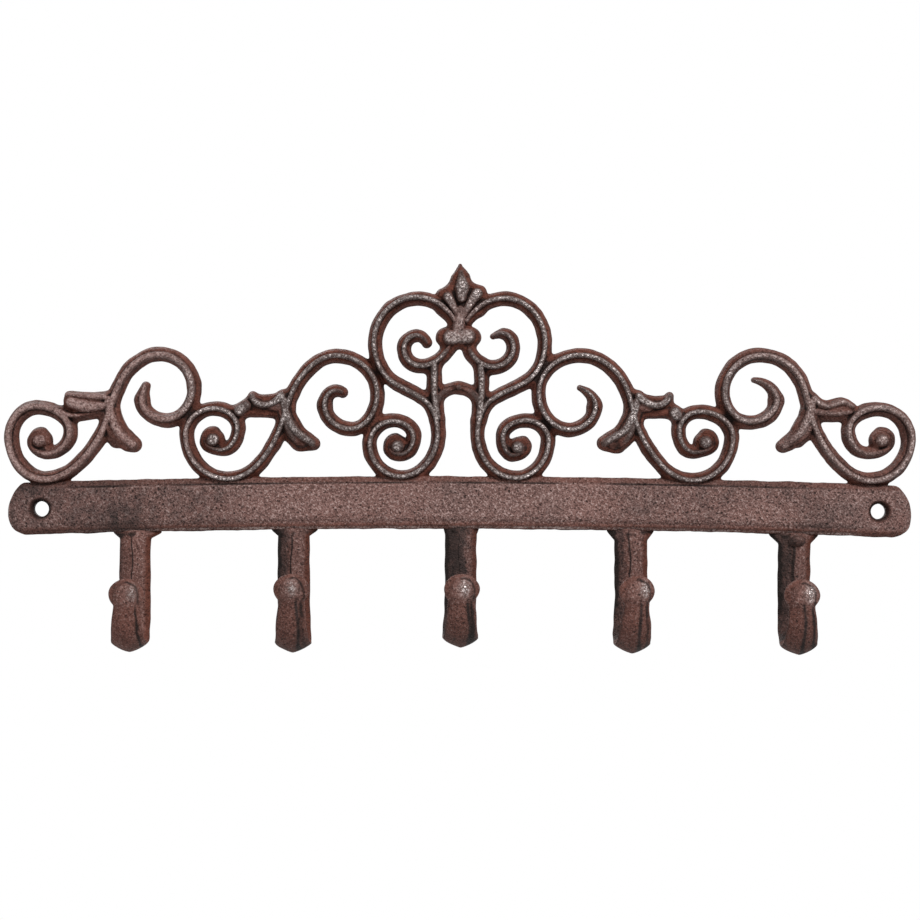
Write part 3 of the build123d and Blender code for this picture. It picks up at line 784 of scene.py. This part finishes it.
def hook_form(number, place, turn, drop, arm, stem_half, flare_left, flare_right, flare_height, bend_lean,
              head_lean):
    """A hook's rings: a rounded diamond section carried down the stem, round the bend and up the arm. Its
    width, thickness and roundness change along the way, and the arm runs up the front of a flattened ball.
    Also gives where the points lie on the hook, for its looks."""
    rise = rail_base(place) - RAIL_BASE
    top, centre = RAIL_BASE + rise + 1.8, BEND_HEIGHT + rise - drop
    stem, bend = top - centre, np.pi * BEND_RADIUS
    s = np.concatenate([
        np.linspace(0, stem, 60, endpoint=False),
        stem + np.linspace(0, bend, 56, endpoint=False),
        stem + bend + arm * np.sin(np.linspace(0, np.pi / 2, 60)),
    ])
    angle = np.clip((s - stem) / BEND_RADIUS, 0, np.pi)
    up = np.clip(s - stem - bend, 0, None)
    left = arm - up
    depth = STEM_DEPTH - 1.5 * np.exp(-s / 5) + BEND_RADIUS * (1 - np.cos(angle))
    z = np.where(s < stem, top - s, centre - BEND_RADIUS * np.sin(angle) + up)
    sway = np.interp(s, [stem - 8, stem + 0.5 * bend, s[-1]], [0, bend_lean, head_lean])
    out = np.stack([-np.cos(angle), -np.sin(angle)], 1)

    # The ball's profile is half an ellipse along the last stretch; the bar stops at the ball's middle
    bulge = np.sqrt(np.clip(1 - ((left - HEAD_RADIUS) / HEAD_RADIUS) ** 2, 0, 1))
    whole = step(HEAD_RADIUS - 3, HEAD_RADIUS + 3, left)
    ball = 1 - step(HEAD_RADIUS + 1, 2 * HEAD_RADIUS + 1, left)
    stops = [0, stem, stem + 0.5 * bend, stem + bend]
    half = np.interp(s, [*stops, stem + bend + 5], [stem_half, stem_half, 8.6, 6.8, 6.1])
    half = np.where(up > 0, soft_max(half * whole, 8.3 * bulge, 0.5 * whole + 1e-6), half)
    thick = np.interp(s, [0, 8, stem, stem + bend], [3.0, 4.2, 4.5, 4.4])
    thick = np.where(up > 0, soft_max(thick * whole, 4.2 * bulge, 0.9 * whole + 1e-6), thick)
    power = np.interp(s, stops, [1.5, 1.42, 1.27, 1.62])
    power = (power * (1 - ball) + 2.0 * ball)[:, None]

    around = np.linspace(0, 2 * np.pi, 72, endpoint=False)
    c, d = np.cos(around), np.sin(around)
    ripple = 1 + 0.024 * unevenness(s[:, None] + 40 * number, 6 * c[None] + 9 * d[None], 11, number + 1)
    u = np.sign(c) * np.abs(c) ** (2 / power)
    root = 1 - np.clip((s - 2.3) / flare_height, 0, 1)[:, None]
    across = half[:, None] * u * ripple + root * np.where(u > 0, flare_right, flare_left) * u
    through = thick[:, None] * np.sign(d) * np.abs(d) ** (2 / power) * ripple
    spine = 1.25 * np.exp(-(across / 4.8) ** 6) * step(1.5, 5.0, left)[:, None] * ball[:, None] * (d > 0)
    through = through + spine * np.clip(3 * d, 0, 1)
    lean = np.radians(turn)
    px, py = across + sway[:, None], depth[:, None] + through * out[:, :1] - STEM_DEPTH
    rings = np.stack([
        place + px * np.cos(lean) + py * np.sin(lean),
        -np.clip(STEM_DEPTH + py * np.cos(lean) - px * np.sin(lean), 0.02, None),
        z[:, None] + through * out[:, 1:],
    ], -1)
    spots = dict(down=s[:, None], stem=stem, bend=bend, row=left[:, None], ball=ball[:, None], u=u, facing=d,
                 across=across)
    return rings, spots


def hook_looks(number, down, stem, bend, row, ball, u, facing, across, stain, stain_to, crease_half, streak,
               highlight_at, polish_and_highlight):
    """A hook's looks: bands along and across it. u runs from side to side of the bar, down along it and row
    back from its tip; the stem shows its inner face and the arm its outer one."""
    on_stem = ((down < stem + 16) & (facing < 0)) * 1.0
    on_arm = ((down > stem) & (facing > 0)) * 1.0
    on_head = ball * on_arm
    below_head = on_arm * (1 - on_head)
    ragged = unevenness(down + 31 * number, 9 * u, 5, number + 3)
    wander = 0.05 * np.sin(down * 0.31 + 2 * number)

    # Dark lines: the stem's crease and side, painted shade along the arm's edges where it stands before the
    # stem, runs on the arm, the head's rim, and a painted shadow of the rail on the root
    crease = band(u, -0.12 - wander, crease_half) * on_stem
    crease *= step(3, 6, down) * (1 - step(stem - 10, stem, down))
    side = step(0.66, 0.86, -u + 0.08 * ragged) * on_stem * (1 - step(stem - 6, stem + 6, down))
    # Painted shade along the arm's right edge, where it stands in front of the stem
    right_edge_shade = band(u, 0.74 + 0.04 * ragged, 0.07 + 0.12 * stain) * below_head
    right_edge_shade *= step(-4, 1, HEAD_RADIUS + 12 - row)
    # Painted shade along the arm's left edge
    left_edge_shade = step(0.84, 0.96, -u + 0.04 * ragged) * below_head
    run = band(u, streak + wander, 0.12) * on_arm * (1 - 0.4 * on_head)
    run += 0.3 * band(u, -0.40 - 2 * wander, 0.07) * below_head * step(0.0, 0.8, ragged)
    from_ridge = np.hypot((across - 0.2) / 5.4, np.clip(HEAD_RADIUS - row, 0, None) / 5.2)
    rim = band(from_ridge, 1.04 - 0.05 * ragged, 0.12) * on_head * np.where(u > -0.1, 0.9, 0.45)
    # Painted shadow of the rail, in patches, at the top of the stem
    shadow_under_rail = band(down, 3.0, 1.5) * step(-0.5, 0.8, ragged)
    darkening = 0.9 * crease + 0.8 * min(1.0, 2 * stain) * side + 0.80 * right_edge_shade + 0.4 * left_edge_shade + 0.7 * rim
    darkening += 0.75 * shadow_under_rail + 0.65 * run * step(-0.2, 0.6, ragged)

    # Faces, with the stem's right facet painted lighter than its left, the painted highlight on the head with
    # its rubbed metal, and the soot
    # The right facet of the stem is painted lighter than the left, as the lamp from the right lights it
    stem_face = (0.45 + 0.15 * (u > -0.12)) * on_stem * (1 - step(0.55, 0.80, u))
    on_ridge = np.exp(-(from_ridge / 1.02) ** 8) * on_head
    # Painted highlight: a silvery spot on each head where the lamp from the upper right lights it, with
    # rubbed metal there
    highlight = band(across, highlight_at, 2.3) * band(row, HEAD_RADIUS - 0.8, 4.0) * on_head
    stained = 1 - step(stain_to - 0.15, stain_to + 0.15, u + 0.10 * ragged)
    stem_soot = stain * (0.40 + 0.60 * stained) * on_stem
    below_bend = band(down, stem + 0.56 * bend, 9.0)
    arm_soot = (0.04 + 0.26 * stain + 0.26 * below_bend + 0.60 * run) * on_arm * (1 - 0.6 * on_head)
    return {
        "crest": polish_and_highlight * highlight ** 0.7,
        "hollow": np.clip(darkening, 0, 1),
        "face": np.clip(stem_face + 0.28 * on_arm + 0.30 * on_ridge, 0, 1),
        "rub": highlight ** 0.7,
        "soot": np.clip(stem_soot + arm_soot - 0.4 * highlight, 0, 1),
    }


for number, (form, finish) in enumerate(HOOKS):
    rings, spots = hook_form(number, **form)
    make_tube(f"hook_{number + 1}", rings, hook_looks(number, **spots, **finish))


def make_blister():
    """A blister of iron under the rail at the last hook: half an egg, its rings a cosine wide and a sine
    deep. They run clockwise as seen from the front, so that the faces point outwards."""
    u = np.linspace(0, np.pi / 2, 14)[:, None]
    v = np.linspace(2 * np.pi, 0, 40, endpoint=False)[None]
    wide = 1 + 0.07 * np.sin(2 * v + 0.7)
    x = 160.4 + 4.3 * wide * np.cos(u) * np.cos(v)
    z = -14.4 + 2.9 * wide * np.cos(u) * np.sin(v)
    depth = 5.4 + 5.0 * np.sin(u) + 0 * v
    # Painted highlight on its upper right; painted shade over the rest and at its foot, most at the bottom
    lit = band(np.cos(v), 0.3, 0.6) * band(np.sin(v), 0.6, 0.5) * band(u, 0.8, 0.35)
    looks = {
        "crest": 1.5 * lit,
        "hollow": 0.9 * (1 - step(0.1, 0.7, u)) * (0.6 - 0.4 * np.sin(v)),
        "face": 0.3 + 0 * x,
        "rub": lit,
        "soot": 0.65 * (1 - lit),
    }
    return make_tube("blister", np.stack([x, -depth, z], -1), looks)


make_blister()

# Floor, light and camera

def pale_floor():
    """A plain matt pale floor."""
    material = bpy.data.materials.new("pale_floor")
    material.use_nodes = True
    material.node_tree.nodes["Principled BSDF"].inputs["Base Color"].default_value = (0.86, 0.86, 0.86, 1)
    material.node_tree.nodes["Principled BSDF"].inputs["Roughness"].default_value = 0.9
    return material


FLOOR_HEIGHT = -0.6         # metres, as are the lamps' and the camera's places below
floor_corners = [(x, y, FLOOR_HEIGHT) for x, y in ((-3.0, -3.0), (3.0, -3.0), (3.0, 1.8), (-3.0, 1.8))]
floor_mesh = bpy.data.meshes.new("floor")
floor_mesh.from_pydata(floor_corners, [], [(0, 1, 2, 3)])
floor = bpy.data.objects.new("floor", floor_mesh)
bpy.context.collection.objects.link(floor)
floor_mesh.materials.append(pale_floor())

scene = bpy.context.scene
scene.view_settings.view_transform = "Standard"
world = bpy.data.worlds.new("studio")
scene.world = world
world.use_nodes = True
sky = world.node_tree
background = sky.nodes["Background"]
rays = sky.nodes.new("ShaderNodeLightPath")
direct = maths(sky, "MAXIMUM", rays.outputs["Is Camera Ray"], rays.outputs["Is Glossy Ray"])
seen = maths(sky, "MAXIMUM", direct, rays.outputs["Is Transmission Ray"])
background.inputs["Color"].default_value = (1, 1, 1, 1)
sky.links.new(maths(sky, "MAXIMUM", seen, 0.24), background.inputs["Strength"])


def softbox(name, place, aim, size, watts):
    """A square area lamp that looks at a point."""
    lamp = bpy.data.lights.new(name, "AREA")
    lamp.energy, lamp.size = watts, size
    box = bpy.data.objects.new(name, lamp)
    box.location = place
    box.rotation_euler = (Vector(aim) - Vector(place)).to_track_quat("-Z", "Y").to_euler()
    bpy.context.collection.objects.link(box)


softbox("key", (0.60, -0.95, 1.10), (0, 0, 0.03), 0.45, 24)
softbox("fill", (-1.2, -1.0, 0.35), (0, 0, 0.03), 0.8, 5)
softbox("back", (-0.5, 1.4, 0.9), (0, 0, 0.03), 0.8, 12)

camera = bpy.data.cameras.new("camera")
camera.lens, camera.sensor_width = 82.3, 36.0
view = bpy.data.objects.new("camera", camera)
view.location = (0, -1.009, 0.024)
view.rotation_euler = (np.pi / 2, np.radians(-0.18), 0)
bpy.context.collection.objects.link(view)
scene.camera = view
